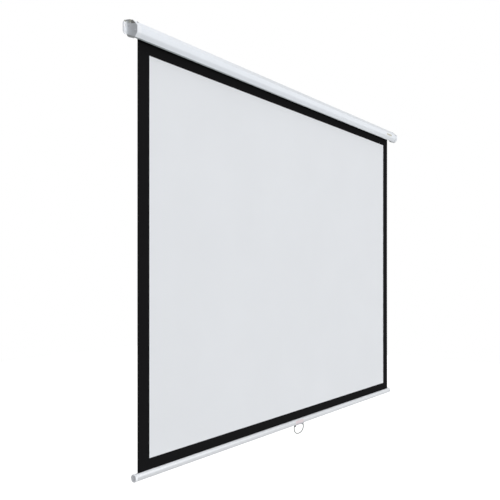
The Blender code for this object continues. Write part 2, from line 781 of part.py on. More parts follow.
def make_pawl(name, material, pawl_axis):
    """A hooked pawl about its own pivot, drawn as it sits in a notch; its empty lifts it out."""
    pivot = Vector((0, PAWL_PIVOT_RADIUS))
    eye = PAWL_PIN_RADIUS + SEAT_GAP + PAWL_EYE_WALL
    start = math.pi / 2
    inner = HUB_RADIUS + 2 * SEAT_GAP
    outer = inner + PAWL_ARM
    tip = HUB_RADIUS - PAWL_BITE
    far, near = start + PAWL_SPAN, start + PAWL_SPAN - PAWL_NOSE
    outline = arc(outer, start, far, 8) + arc(tip, far, near, 2) + arc(inner, near, start, 6)
    outline = [point - pivot for point in outline]
    first, last = ratchet_start, ratchet_end
    pawl = prism(name, outline, first, last, material, pawl_axis)
    ring = rod(f"{name}_eye", eye, first, last, pawl_axis, sides=24)
    hole = rod(f"{name}_hole", PAWL_PIN_RADIUS + SEAT_GAP, first - eye, last + eye, pawl_axis, sides=24)
    join(pawl, ring)
    cut(pawl, hole)
    return pawl


def make_pawl_pin(name, material, axis, pivot):
    """The rivet that a pawl swings on, fixed in the lock plug."""
    start = lock_plug_face - PAWL_PIN_DEPTH
    seat = ratchet_end + SEAT_GAP
    top = seat + PAWL_PIN_HEAD_HEIGHT
    profile = [
        (start, 0),
        (start, PAWL_PIN_RADIUS),
        (seat, PAWL_PIN_RADIUS),
        (seat, PAWL_PIN_HEAD),
        (top - PAWL_PIN_HEAD_HEIGHT / 2, PAWL_PIN_HEAD),
        (top, PAWL_PIN_HEAD * 0.6),
        (top, 0),
    ]
    pin = turned(name, profile, material, axis, 16)
    pin.location = pivot
    return pin


def make_spring_group(steel, spring_steel, nylon, axis, fixed_axis):
    """Bush, anchor and return spring on the shaft, inside the tube."""
    bore = SHAFT_RADIUS + SEAT_GAP
    bush_start = shaft_start + BUSH_INSET
    bush_end = bush_start + BUSH_LENGTH
    bush = [(bush_start, bore), (bush_start, plug_radius), (bush_end, plug_radius), (bush_end, bore)]
    turned("shaft_bush", bush, nylon, axis)
    anchor_start = bush_end + THRUST_GAP
    anchor_end = anchor_start + ANCHOR_LENGTH
    shoulder = ANCHOR_LENGTH / 2
    neck = SPRING_RADIUS * math.cos(math.pi / SPRING_POINTS) - SPRING_WIRE - SEAT_GAP
    anchor = [
        (anchor_start, bore),
        (anchor_start, ANCHOR_RADIUS),
        (anchor_start + shoulder, ANCHOR_RADIUS),
        (anchor_start + shoulder, neck),
        (anchor_end, neck),
        (anchor_end, bore),
    ]
    turned("spring_anchor", anchor, steel, fixed_axis)

    start = anchor_start + shoulder + SEAT_GAP + SPRING_WIRE
    end = tube_right - LOCK_PLUG_DEPTH - SEAT_GAP - SPRING_WIRE
    count = SPRING_TURNS * SPRING_POINTS
    points = []
    for index in range(count + 1):
        angle = 2 * math.pi * index / SPRING_POINTS
        along = start + (end - start) * index / count
        points.append((along, SPRING_RADIUS * math.cos(angle), SPRING_RADIUS * math.sin(angle)))
    pitch = (end - start) / SPRING_TURNS
    print(f"Least gap between turns of the spring: {1000 * (pitch - 2 * SPRING_WIRE):.1f} mm")
    swept_wire("return_spring", points, SPRING_WIRE, 1, spring_steel, axis)


def make_cloth(white, black, frame):
    """The hanging cloth: a white picture area in a black border, and a black back."""
    rod_top = bar_z + hem_rod_rise() + HEM_ROD_RADIUS
    columns = [cloth_left, cloth_left + SIDE_BORDER, cloth_right - SIDE_BORDER, cloth_right]
    rows = [rod_top + SEAT_GAP, picture_bottom, picture_top, roller_z - SEAT_GAP]
    front = -CLOTH_DEPTH - CLOTH_THICKNESS / 2
    mesh = bmesh.new()
    grid = [[mesh.verts.new((x, front, z)) for x in columns] for z in rows]
    for lower, upper in zip(grid, grid[1:]):
        for index in range(len(columns) - 1):
            mesh.faces.new((lower[index], lower[index + 1], upper[index + 1], upper[index]))
    made = bmesh.ops.extrude_face_region(mesh, geom=mesh.faces[:])["geom"]
    back = [item for item in made if isinstance(item, bmesh.types.BMVert)]
    bmesh.ops.translate(mesh, verts=back, vec=(0, CLOTH_THICKNESS, 0))
    cloth = place("screen_cloth", mesh, black, frame, smooth=False)
    cloth.data.materials.append(white)
    for face in cloth.data.polygons:
        in_picture = columns[1] < face.center.x < columns[2] and rows[1] < face.center.z < rows[2]
        face.material_index = int(in_picture and face.normal.y < 0)
    return cloth


def hem_rod_rise():
    """Height of the hem rod's axis above the bar's, where it hangs against the slot's inner edges."""
    half = BAR_SLOT / 2
    reach = HEM_ROD_RADIUS + SEAT_GAP
    return math.sqrt(bar_bore**2 - half**2) - math.sqrt(reach**2 - half**2)


def make_bar(paint, plastic, steel, axis):
    """The bottom bar: a tube slotted along its top, two end plugs and the rod in the cloth's hem."""
    outside = math.asin(BAR_SLOT / 2 / BAR_RADIUS)
    inside = math.asin(BAR_SLOT / 2 / bar_bore)
    up = math.pi / 2
    full = 2.5 * math.pi
    outline = arc(BAR_RADIUS, up + outside, full - outside, FINE_SIDES)
    outline += arc(bar_bore, full - inside, up + inside, FINE_SIDES)
    tube_start = bar_left + BAR_PLUG_THICKNESS + SEAT_GAP
    tube_end = bar_right - BAR_PLUG_THICKNESS - SEAT_GAP
    tube = prism("bar_tube", outline, tube_start, tube_end, paint, axis)
    for number, (location, direction) in enumerate(saddle_screw_places(), 1):
        hole = f"bar_hole_{number}"
        cut(tube, screw_hole(hole, location, direction, CASE_SCREW_RADIUS, SADDLE_SCREW_LENGTH, axis))
    for name, outer, side in (("left_bar_plug", bar_left, 1), ("right_bar_plug", bar_right, -1)):
        turned(name, bar_plug_profile(outer, side), plastic, axis, FINE_SIDES)
    rod_rise = hem_rod_rise()
    hem_rod = prism(
        "hem_rod", circle(HEM_ROD_RADIUS, 16, (0, rod_rise)), cloth_left, cloth_right, steel, axis
    )
    return tube, hem_rod


def bar_plug_profile(outer, side):
    """A plug with a rounded rim round a dished end, from its outer face inwards."""
    seat = outer + side * BAR_PLUG_THICKNESS
    spigot = bar_bore - SEAT_GAP
    rim_centre = (outer + side * BAR_PLUG_ROUNDING, BAR_PLUG_RADIUS - BAR_PLUG_ROUNDING)
    rim = [
        (rim_centre[0] - side * point.x, rim_centre[1] + point.y)
        for point in arc(BAR_PLUG_ROUNDING, 0, math.pi / 2, 4)
    ]
    tail = seat + side * BAR_PLUG_DEPTH
    dish = BAR_PLUG_RADIUS - BAR_PLUG_RIM
    floor = outer + side * BAR_PLUG_DISH
    end = [(floor, 0), (floor, dish - BAR_PLUG_DISH), (outer, dish)]
    return [*end, *rim, (seat, BAR_PLUG_RADIUS), (seat, spigot), (tail, spigot), (tail, 0)]


def saddle_screw_places():
    """Where the saddle's screws seat under it, and which way they face."""
    for side in (-1, 1):
        x = HANDLE_X + side * SADDLE_SCREW_INSET
        yield (x, 0, -(BAR_RADIUS + SEAT_GAP + SADDLE_WALL)), (0, 0, -1)


def make_saddle(material, axis):
    """The cradle under the bar, with a lug at each end for the pull handle."""
    inner = BAR_RADIUS + SEAT_GAP
    outer = inner + SADDLE_WALL
    down = -math.pi / 2
    outline = arc(outer, down - SADDLE_WRAP, down + SADDLE_WRAP, 20)
    outline += arc(inner, down + SADDLE_WRAP, down - SADDLE_WRAP, 20)
    half = SADDLE_LENGTH / 2
    saddle = prism("handle_saddle", outline, HANDLE_X - half, HANDLE_X + half, material, axis)
    root = -(inner + SADDLE_WALL / 4)
    lug_outline = [Vector((LUG_RADIUS, root)), Vector((-LUG_RADIUS, root))]
    lug_outline += [point - Vector((0, PIVOT_DROP)) for point in arc(LUG_RADIUS, math.pi, 2 * math.pi, 12)]
    for side in (-1, 1):
        first = HANDLE_X + side * half
        last = first - side * LUG_THICKNESS
        join(saddle, prism(f"lug_{side}", lug_outline, first, last, None, axis))
    reach = half + LUG_THICKNESS
    centre = (0, -PIVOT_DROP)
    bore = rod("lug_bore", WIRE_RADIUS + SEAT_GAP, HANDLE_X - reach, HANDLE_X + reach, axis, centre, 20)
    holes = [
        screw_hole(f"saddle_hole_{number}", location, direction, CASE_SCREW_RADIUS, SADDLE_SCREW_LENGTH, axis)
        for number, (location, direction) in enumerate(saddle_screw_places(), 1)
    ]
    cut(saddle, bore, *holes)
    return saddle


def make_handle(material, axis):
    """The wire pull: its ends turn in the lugs, and its bow hangs below as half a full ellipse."""
    inner_end = SADDLE_LENGTH / 2 - LUG_THICKNESS - WIRE_STUB
    half_width = HANDLE_WIDTH / 2 - WIRE_RADIUS
    elbow = WIRE_ELBOW
    bow = HANDLE_DROP - WIRE_RADIUS - HANDLE_SHOULDER
    right = [Vector((inner_end, 0))]
    right += [Vector((half_width - elbow, -elbow)) + point for point in arc(elbow, math.pi / 2, 0, 5)]
    power = 2 / HANDLE_FULLNESS
    for angle in [math.pi / 2 * index / 12 for index in range(12)]:
        across, down = math.cos(angle) ** power, math.sin(angle) ** power
        right.append(Vector((half_width * across, -HANDLE_SHOULDER - bow * down)))
    bottom = [Vector((0, -HANDLE_SHOULDER - bow))]
    left = [Vector((-point.x, point.y)) for point in reversed(right)]
    points = [(HANDLE_X + point.x, 0, point.y) for point in right + bottom + left]
    return swept_wire("pull_handle", points, WIRE_RADIUS, 2, material, axis)


def build():
    clear_scene()
    white_paint = finish("white_painted_steel", srgb(231, 234, 238), 0.38)
    bracket_paint = finish("bracket_paint", srgb(226, 229, 232), 0.42)
    cap_plastic = finish("cap_plastic", srgb(126, 127, 124), 0.55)
    zinc = finish("zinc_steel", srgb(150, 152, 154), 0.35, 0.9)
    dark_zinc = finish("dark_screw_steel", srgb(88, 88, 90), 0.4, 0.8)
    aluminium = finish("roller_aluminium", srgb(190, 192, 194), 0.4, 0.9)
    nylon = finish("white_nylon", srgb(222, 222, 214), 0.5)
    spring_steel = finish("spring_steel", srgb(120, 122, 126), 0.35, 0.9)
    white_cloth = finish("picture_cloth", srgb(227, 230, 232), 0.9)
    black_cloth = finish("border_cloth", srgb(24, 24, 25), 0.85)
    bar_paint = finish("bar_paint", srgb(231, 232, 235), 0.36)
    plug_plastic = finish("plug_plastic", srgb(206, 207, 209), 0.5)
    saddle_plastic = finish("saddle_plastic", srgb(196, 197, 202), 0.5)
    handle_steel = finish("handle_steel", srgb(128, 130, 130), 0.3, 0.9)

    frame = axis_empty("case_frame", (0, 0, 0))
    roller_axis = axis_empty("roller_axis", (0, roller_y, roller_z), frame)
    shaft_axis = axis_empty("shaft_axis", (0, roller_y, roller_z), frame)
    bar_axis = axis_empty("bar_slide", (0, -CLOTH_DEPTH, bar_z), frame)
    handle_axis = axis_empty("handle_axis", (0, 0, -PIVOT_DROP), bar_axis)
    pawl_axes = []
    for index in range(2):
        turn = math.pi * index
        pivot = turned_by(Vector((0, PAWL_PIVOT_RADIUS)), turn)
        pawl_axis = axis_empty(f"pawl_axis_{index + 1}", (0, pivot.x, pivot.y), roller_axis)
        pawl_axis.rotation_euler.x = turn - PAWL_SWING
        pawl_axes.append(pawl_axis)

    make_case(white_paint, frame)
    seats = {
        -1: rod(
            "idle_pin_seat",
            IDLE_PIN_RADIUS + SEAT_GAP,
            -flange_outer + BLIND_WALL,
            idle_plug_face,
            shaft_axis,
        ),
        1: flats_hole("shaft_seat", ratchet_end, flange_outer - BLIND_WALL, shaft_axis),
    }
    for side, hand in ((-1, "left"), (1, "right")):
        make_end_cap(f"{hand}_end_cap", side, seats[side], cap_plastic, frame, shaft_axis)
        make_bracket(f"{hand}_wall_bracket", side, bracket_paint, frame)
        for level, (location, direction) in zip(("upper", "lower"), bracket_screw_places(side)):
            name = f"{hand}_{level}_screw"
            screw(
                name,
                location,
                direction,
                SCREW_RADIUS,
                SCREW_LENGTH,
                SCREW_HEAD_RADIUS,
                bracket_paint,
                frame,
            )
        screw(
            f"{hand}_case_screw",
            *case_screw_place(side),
            CASE_SCREW_RADIUS,
            CASE_SCREW_LENGTH,
            CASE_SCREW_HEAD,
            dark_zinc,
            frame,
        )
    make_idle_pin(zinc, shaft_axis)
    make_shaft(zinc, shaft_axis)
    make_ratchet_hub(zinc, shaft_axis)

    make_roller_tube(aluminium, roller_axis)
    make_cloth_roll(black_cloth, roller_axis)
    make_idle_plug(nylon, roller_axis)
    make_lock_plug(nylon, roller_axis, pawl_axes)
    make_spring_group(zinc, spring_steel, nylon, roller_axis, shaft_axis)
    for index, letter in enumerate("ab"):
        make_pawl(f"pawl_{letter}", zinc, pawl_axes[index])
        make_pawl_pin(f"pawl_pin_{letter}", dark_zinc, roller_axis, pawl_axes[index].location)

    make_cloth(white_cloth, black_cloth, frame)
    make_bar(bar_paint, plug_plastic, zinc, bar_axis)
    make_saddle(saddle_plastic, bar_axis)
    for number, (location, direction) in enumerate(saddle_screw_places(), 1):
        screw(
            f"saddle_screw_{number}",
            location,
            direction,
            CASE_SCREW_RADIUS,
            SADDLE_SCREW_LENGTH,
            CASE_SCREW_HEAD,
            dark_zinc,
            bar_axis,
        )
    make_handle(handle_steel, handle_axis)


build()
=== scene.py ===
import json
import math

import bmesh
import bpy
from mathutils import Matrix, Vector


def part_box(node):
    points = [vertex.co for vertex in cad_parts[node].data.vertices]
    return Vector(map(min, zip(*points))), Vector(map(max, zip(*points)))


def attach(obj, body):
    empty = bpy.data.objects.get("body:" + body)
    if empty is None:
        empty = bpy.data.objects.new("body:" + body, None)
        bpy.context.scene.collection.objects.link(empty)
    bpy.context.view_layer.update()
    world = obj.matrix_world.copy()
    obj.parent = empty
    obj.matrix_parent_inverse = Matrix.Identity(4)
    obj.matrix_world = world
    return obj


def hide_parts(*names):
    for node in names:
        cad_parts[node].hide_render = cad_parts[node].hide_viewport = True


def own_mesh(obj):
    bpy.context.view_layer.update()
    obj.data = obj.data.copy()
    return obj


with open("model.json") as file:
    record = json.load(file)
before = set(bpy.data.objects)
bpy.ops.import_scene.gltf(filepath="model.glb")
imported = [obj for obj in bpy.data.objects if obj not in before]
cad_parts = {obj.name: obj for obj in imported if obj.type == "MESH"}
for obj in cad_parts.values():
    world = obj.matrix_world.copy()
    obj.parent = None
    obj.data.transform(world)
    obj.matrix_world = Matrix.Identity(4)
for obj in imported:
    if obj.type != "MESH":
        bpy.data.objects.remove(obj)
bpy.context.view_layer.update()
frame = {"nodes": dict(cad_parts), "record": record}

nodes = frame["nodes"]

# All sizes are in metres, and places are in the object's frame: X to the right, Y to the wall,
# Z up. A range is written from where something begins to where it is full.

# Cloth
CLOTH_THICKNESS = 0.0004
SIDE_BORDER = 0.060
PICTURE_TOP = -0.06725
PICTURE_BOTTOM = -1.59125
HANGS_FROM = -0.0033
WEAVE_PITCH = 0.0008
WAVE_LENGTH = 0.83
WAVE_START = 0.6  # radians
WAVE_DEPTH = 0.0004
CURL_DEPTH = 0.0003
CURL_REACH = 0.03  # in from a side edge
BORDER_STEPS = 4
LOWER_STEPS = 3
PICTURE_COLUMNS = 60
PICTURE_ROWS = 48
ROLL_TURNS = 1.25
ROLL_PITCH = 0.00075
ROLL_COLUMNS = 12
STEPS_PER_TURN = 96

# Bare plate on the case and label on the bar
PLATE_X = 1.0059
PLATE_DROP = 0.0055  # below the middle of the case
PLATE_SIZE = (0.067, 0.0098)
PLATE_PROUD = 0.0005
RIM_SIZE = (0.074, 0.0165)
RIM_PROUD = 0.0007
CORNER_RADIUS = 0.002
CORNER_STEPS = 4
PLATE_GAP = 0.00005  # behind a plate
FACE_SHARE = 0.992  # a plate's front face, of its outline
LABEL_SPAN = (-0.0357, 0.0368)
LABEL_ANGLES = (math.radians(-24), math.radians(37))  # up from straight ahead
LABEL_SKINS = (0.0001, 0.0003)  # above the bar
LABEL_COLUMNS = 8
LABEL_ROWS = 14

# Recessed screws, as shares of the head's height and radius
HEAD_DOME = 0.14
HEAD_PROFILE = ((1, 1), (0.62, 1), (0.36, 0.95), (HEAD_DOME, 0.8))  # from below to the dome
DOME_RINGS = (0.66, 0.52, 0.4, 0.28, 0.16)
RECESS_HALF_WIDTH = 0.13
RECESS_REACH = 0.56
RECESS_DEPTH = 0.55
RECESS_SLOPE = 0.7  # how much shallower it is at the head's edge
SHANK_POINT = 0.4  # length of the chamfer, of the shank's radius
SCREW_SIDES = 32

# Bushes at the handle's pivots
PIVOT_RISE = 0.0048  # above the lugs' foot
BUSH_BORE = 0.0027
BUSH_RADIUS = 0.0045
BUSH_THICKNESS = 0.0012
BUSH_CHAMFER = 0.0004
BUSH_GAP = 0.0001
BUSH_SIDES = 28

# Ranges of painted shade and painted light, as places
GUSSET_FOOT = (0.02475, 0.02515)
GUSSET_REACH = (0.001, -0.022)  # from the ear to the tip
EAR_TOP = (0.0295, 0.0315)
EAR_FRONT = (0.0006, 0.001)
EAR_EDGE = (0.006, 0.003)  # in from the bracket's end
END_PLATE_STRIP = (-0.003, -0.0065)
END_PLATE_DEPTH = (-0.006, -0.03)
BAR_LEFT = (-0.1, -1.1)
CAP_LOW = (-0.004, -0.006)
CAP_RIGHT = (0.9, 1.0)
DISH_RADIUS = (0.0115, 0.0111)
UNDERSIDE_LEFT = (0.9, -0.9)
SLOPE_RIGHT = (-0.8, -0.3)

# Ranges of painted shade and painted light, as the normal's part along an axis
LOOKS_DOWN = (-0.78, -0.88)
LOOKS_UP = (0.2, 0.45)
LOOKS_LEFT = (-0.7, -0.95)
LOOKS_UNDER = (0.5, 0.1)

# Shares of a painted shade
END_PLATE_LEAST = 0.55
EAR_MOST = 0.9

# Textures and shading
TEXTURE_MIDDLE = (0.3, 0.7)  # where a noise's values mostly lie
GRAIN_ALONG_X = (0.02, 1, 1)
SMOOTH_BELOW = math.radians(35)

# Camera, light and floor
FOCAL_LENGTH = 44.14  # millimetres, as is the sensor's width
SENSOR_WIDTH = 36
CAMERA_PLACE = (-2.6371, -1.7276, -0.8949)
CAMERA_HEADING = math.radians(-52.55)
CAMERA_SHIFT = 0.0486
SEEN_TO = 100  # metres
LIGHT_FROM_BELOW = (0.40, 0.40, 0.39, 1)
LIGHT_FROM_ABOVE = (0.47, 0.48, 0.50, 1)
LIGHT_CHANGES = (-0.6, 0.6)  # the height of a direction
FLOOR_Z = -2.4
FLOOR_HALF = 8
FLOOR_COLOUR = (0.42, 0.42, 0.41, 1)
FLOOR_GLOW = 0.9


def srgb(red, green, blue):
    """A colour written in 8-bit steps, as the linear values that a shader takes."""
    shares = [value / 255 for value in (red, green, blue)]
    linear = [s / 12.92 if s <= 0.04045 else ((s + 0.055) / 1.055) ** 2.4 for s in shares]
    return (*linear, 1)


def tinted(colour, share):
    """The colour made lighter or darker."""
    return (*[min(1, c * share) for c in colour[:3]], 1)


# Materials


class Shader:
    """A material's node tree, with short calls for the nodes that the finishes share."""

    def __init__(self, name, roughness, metallic=0.0, specular=0.5):
        self.material = bpy.data.materials.new(name)
        self.material.use_nodes = True
        self.tree = self.material.node_tree
        self.out = self.tree.nodes["Principled BSDF"]
        self.out.inputs["Roughness"].default_value = roughness
        self.out.inputs["Metallic"].default_value = metallic
        self.out.inputs["Specular IOR Level"].default_value = specular
        self.roughness = roughness
        self.place = self.node("ShaderNodeTexCoord").outputs["Object"]

    def node(self, kind, **settings):
        made = self.tree.nodes.new(kind)
        for key, value in settings.items():
            setattr(made, key, value)
        return made

    def link(self, source, target):
        self.tree.links.new(source, target)

    def stretched(self, scale):
        """The place on the piece, stretched or flattened along some axes."""
        mapping = self.node("ShaderNodeMapping")
        mapping.inputs["Scale"].default_value = scale
        self.link(self.place, mapping.inputs["Vector"])
        return mapping.outputs["Vector"]

    def noise(self, scale, detail=2.0, stretch=(1, 1, 1)):
        texture = self.node("ShaderNodeTexNoise")
        texture.inputs["Scale"].default_value = scale
        texture.inputs["Detail"].default_value = detail
        self.link(self.stretched(stretch), texture.inputs["Vector"])
        return texture.outputs["Fac"]

    def ribs(self, axis, pitch):
        """Fine parallel ridges across an axis, for weave."""
        wave = self.node("ShaderNodeTexWave", bands_direction=axis)
        # At a scale of 1, twenty radians of the wave take one metre.
        wave.inputs["Scale"].default_value = 2 * math.pi / (20 * pitch)
        self.link(self.place, wave.inputs["Vector"])
        return wave.outputs["Fac"]

    def ramp(self, value, begin, full, low=0, high=1):
        """Goes evenly from low, where the value is begin, to high, where it is full."""
        mapped = self.node("ShaderNodeMapRange")
        mapped.inputs["From Min"].default_value = begin
        mapped.inputs["From Max"].default_value = full
        mapped.inputs["To Min"].default_value = low
        mapped.inputs["To Max"].default_value = high
        self.link(value, mapped.inputs["Value"])
        return mapped.outputs["Result"]

    def mix_base(self, factor, colour):
        """Base colour that goes to another one with the factor; returns the mixing node."""
        mix = self.node("ShaderNodeMix", data_type="RGBA")
        mix.inputs["B"].default_value = colour
        self.link(factor, mix.inputs["Factor"])
        self.base = mix.outputs["Result"]
        self.link(self.base, self.out.inputs["Base Color"])
        return mix

    def mottle(self, texture, colour, darker, lighter):
        """Base colour between a darker and a lighter share of a colour, by a texture."""
        mix = self.mix_base(self.ramp(texture, *TEXTURE_MIDDLE), tinted(colour, lighter))
        mix.inputs["A"].default_value = tinted(colour, darker)

    def paint_over(self, shades):
        """Other base colours, each where its mask is 1: painted shade and painted light."""
        for mask, colour in shades:
            below = self.base
            self.link(below, self.mix_base(mask(self), colour).inputs["A"])

    def vary_roughness(self, texture, amount):
        low, high = self.roughness - amount, self.roughness + amount
        self.link(self.ramp(texture, *TEXTURE_MIDDLE, low, high), self.out.inputs["Roughness"])

    def bump(self, *heights):
        """Bump from (height, depth) pairs, one on another."""
        normal = None
        for height, depth in heights:
            made = self.node("ShaderNodeBump")
            made.inputs["Distance"].default_value = depth
            self.link(height, made.inputs["Height"])
            if normal:
                self.link(normal, made.inputs["Normal"])
            normal = made.outputs["Normal"]
        self.link(normal, self.out.inputs["Normal"])

    def part_of(self, quantity, axis):
        """One axis of the surface's Position or Normal in the room."""
        parts = self.node("ShaderNodeSeparateXYZ")
        self.link(self.node("ShaderNodeNewGeometry").outputs[quantity], parts.inputs["Vector"])
        return parts.outputs[axis]

    def off_axis(self, centre):
        """Distance from a line along X through a point, in the piece's own frame."""
        distance = self.node("ShaderNodeVectorMath", operation="DISTANCE")
        self.link(self.stretched((0, 1, 1)), distance.inputs[0])
        distance.inputs[1].default_value = (0, centre.y, centre.z)
        return distance.outputs["Value"]

    def together(self, operation, first, second):
        maths = self.node("ShaderNodeMath", operation=operation)
        self.link(first, maths.inputs[0])
        self.link(second, maths.inputs[1])
        return maths.outputs["Value"]


# Masks: where a finish has painted shade and painted light


def at_place(shader, axis, span, low=0, high=1):
    return shader.ramp(shader.part_of("Position", axis), *span, low, high)


def facing(shader, axis, span):
    return shader.ramp(shader.part_of("Normal", axis), *span)


def facing_left(shader):
    """Faces that look out to the left."""
    return facing(shader, "X", LOOKS_LEFT)


def downward_painted_shade(shader):
    """Painted shade on faces that look nearly straight down, less and less towards the right end.
    """
    down = facing(shader, "Z", LOOKS_DOWN)
    return shader.together("MULTIPLY", down, at_place(shader, "X", UNDERSIDE_LEFT))


def upward_painted_shade(shader):
    """Painted shade on faces that look up, but for the left end."""
    up = facing(shader, "Z", LOOKS_UP)
    return shader.together("MULTIPLY", up, at_place(shader, "X", SLOPE_RIGHT))


def gusset_and_ear_painted_shade(shader):
    """Painted shade on a bracket's gusset, more and more from the ear to the tip, and on the ear's
    top.
    """
    high = at_place(shader, "Z", GUSSET_FOOT)
    gusset = shader.together("MULTIPLY", high, at_place(shader, "Y", GUSSET_REACH))
    top = at_place(shader, "Z", EAR_TOP)
    ear = shader.together("MULTIPLY", top, at_place(shader, "Y", EAR_FRONT, high=EAR_MOST))
    return shader.together("MAXIMUM", gusset, ear)


def end_plate_painted_shade(shader):
    """Painted shade on a left end plate's outer face, more towards the front, but for a strip at
    the wall.
    """
    past_strip = at_place(shader, "Y", END_PLATE_STRIP)
    forward = at_place(shader, "Y", END_PLATE_DEPTH, low=END_PLATE_LEAST)
    shade = shader.together("MULTIPLY", past_strip, forward)
    return shader.together("MULTIPLY", facing_left(shader), shade)


def ear_edge_painted_shade(shader):
    """Painted shade along the outer edge of the left bracket's ear."""
    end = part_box("left_wall_bracket")[0].x
    return at_place(shader, "X", [end + inset for inset in EAR_EDGE])


def bar_end_painted_light(shader):
    """Painted light on the left end of the bar, less and less up to the middle."""
    return at_place(shader, "X", BAR_LEFT)


def bar_underside_painted_shade(shader):
    """Painted shade on the lower half of a round bar, with a soft edge."""
    return facing(shader, "Z", LOOKS_UNDER)


def plug_dish_painted_shade(shader):
    """Painted shade in the dish in a bar plug's end."""
    low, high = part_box("left_bar_plug")
    return shader.ramp(shader.off_axis((low + high) / 2), *DISH_RADIUS)


def cap_painted_light_low(shader):
    """Painted light on the part of an end cap below its middle."""
    return at_place(shader, "Z", CAP_LOW)


def cap_painted_light_low_right(shader):
    """Painted light on the same part of the right end cap."""
    return shader.together("MULTIPLY", cap_painted_light_low(shader), at_place(shader, "X", CAP_RIGHT))


# Finishes; shades are (mask, colour) pairs of painted shade and painted light


def powder_coat(name, colour, roughness, shades=()):
    """Baked powder paint: a fine orange peel and faint mottling."""
    shader = Shader(name, roughness)
    shader.mottle(shader.noise(9, detail=3), colour, darker=0.985, lighter=1.01)
    shader.vary_roughness(shader.noise(140), 0.05)
    shader.bump((shader.noise(700), 0.00003), (shader.noise(2600, detail=1), 0.000008))
    shader.paint_over(shades)
    return shader.material


def moulding(name, colour, roughness, shades=()):
    """Moulded plastic with a spark-eroded grain."""
    shader = Shader(name, roughness)
    shader.mottle(shader.noise(60, detail=3), colour, darker=0.93, lighter=1.06)
    shader.vary_roughness(shader.noise(500), 0.07)
    shader.bump((shader.noise(1800, detail=3), 0.00004))
    shader.paint_over(shades)
    return shader.material


def plated(name, colour, roughness, stretch=(1, 1, 1), metallic=1.0):
    """Plated or drawn metal, with its grain stretched along the piece."""
    shader = Shader(name, roughness, metallic=metallic)
    grain = shader.noise(120, detail=3, stretch=stretch)
    shader.mottle(grain, colour, darker=0.86, lighter=1.12)
    shader.vary_roughness(shader.noise(900, stretch=stretch), 0.09)
    shader.bump((shader.noise(2400, stretch=stretch), 0.00001))
    return shader.material


def woven(name, colour, roughness, specular, depth):
    """Coated cloth: a plain weave under a matt coating, with faint cloudiness."""
    shader = Shader(name, roughness, specular=specular)
    shader.mottle(shader.noise(3, detail=3), colour, darker=0.99, lighter=1.01)
    weave = shader.together("ADD", shader.ribs("X", WEAVE_PITCH), shader.ribs("Z", WEAVE_PITCH))
    shader.vary_roughness(shader.noise(260), 0.04)
    shader.bump((weave, depth), (shader.noise(1500), depth / 2))
    return shader.material


finishes = {
    "white_painted_steel": powder_coat(
        "white_powder_coat",
        srgb(231, 235, 240),
        roughness=0.36,
        # Painted shade on the upper slope and on faces that look down.
        shades=[(upward_painted_shade, srgb(212, 216, 220)), (downward_painted_shade, srgb(157, 164, 166))],
    ),
    "bracket_paint": powder_coat(
        "bracket_powder_coat",
        srgb(236, 239, 243),
        roughness=0.42,
        shades=[
            # Painted shade on the left end plate, lighter at the wall.
            (end_plate_painted_shade, srgb(197, 200, 204)),
            # Painted shade along the ear's outer edge.
            (ear_edge_painted_shade, srgb(210, 212, 216)),
            # Painted shade on faces that look up.
            (upward_painted_shade, srgb(219, 222, 226)),
            # Painted shade on the gusset and the ear's top.
            (gusset_and_ear_painted_shade, srgb(166, 167, 154)),
            # Painted shade on faces that look down.
            (downward_painted_shade, srgb(138, 142, 142)),
        ],
    ),
    "cap_plastic": moulding(
        "cap_moulding",
        srgb(118, 119, 115),
        roughness=0.55,
        # Painted light: the caps lighter below the middle, nearly white there on the right cap.
        shades=[(cap_painted_light_low, srgb(177, 179, 179)), (cap_painted_light_low_right, srgb(238, 240, 241))],
    ),
    "bar_paint": powder_coat(
        "bar_powder_coat",
        srgb(228, 230, 233),
        roughness=0.32,
        # Painted light at the bar's left end and painted shade on its lower half.
        shades=[(bar_end_painted_light, srgb(246, 248, 251)), (bar_underside_painted_shade, srgb(210, 212, 215))],
    ),
    "plug_plastic": moulding(
        "bar_plug_moulding",
        srgb(240, 242, 245),
        roughness=0.5,
        # Painted shade in the plug's dish.
        shades=[(plug_dish_painted_shade, srgb(222, 223, 227))],
    ),
    "saddle_plastic": moulding(
        "saddle_moulding",
        srgb(198, 199, 206),
        roughness=0.48,
        # Painted light on the saddle's faces that look left.
        shades=[(facing_left, srgb(236, 237, 240))],
    ),
    "white_nylon": moulding("natural_nylon", srgb(224, 223, 214), roughness=0.48),
    "zinc_steel": plated("zinc_plate", srgb(168, 170, 172), roughness=0.34),
    "dark_screw_steel": plated("black_zinc", srgb(96, 96, 98), roughness=0.4),
    "spring_steel": plated("spring_wire", srgb(128, 130, 134), roughness=0.3),
    "handle_steel": plated("handle_plate", srgb(112, 116, 114), roughness=0.5, metallic=0.4),
    "roller_aluminium": plated(
        "drawn_aluminium", srgb(196, 198, 200), roughness=0.38, stretch=GRAIN_ALONG_X
    ),
    "picture_cloth": woven(
        "picture_surface", srgb(226, 228, 231), roughness=0.85, specular=0.25, depth=0.00004
    ),
    "border_cloth": woven(
        "black_back", srgb(22, 22, 23), roughness=0.8, specular=0.15, depth=0.00004
    ),
}
printed_border = woven(
    "printed_black_border", srgb(24, 24, 25), roughness=0.95, specular=0.02, depth=0.00003
)
blank_label = powder_coat("blank_label", srgb(217, 204, 208), roughness=0.55)
blank_plate = plated(
    "blank_plate", srgb(190, 188, 176), roughness=0.5, stretch=GRAIN_ALONG_X, metallic=0.3
)
plate_rim = moulding("plate_rim", srgb(236, 237, 238), roughness=0.45)
grommet_rubber = moulding("grommet_rubber", srgb(130, 131, 133), roughness=0.6)
# Painted shade: the bracket screws' heads take the left end plate's shaded tone.
head_paint_in_painted_shade = powder_coat("head_paint_in_painted_shade", srgb(196, 199, 203), roughness=0.6)

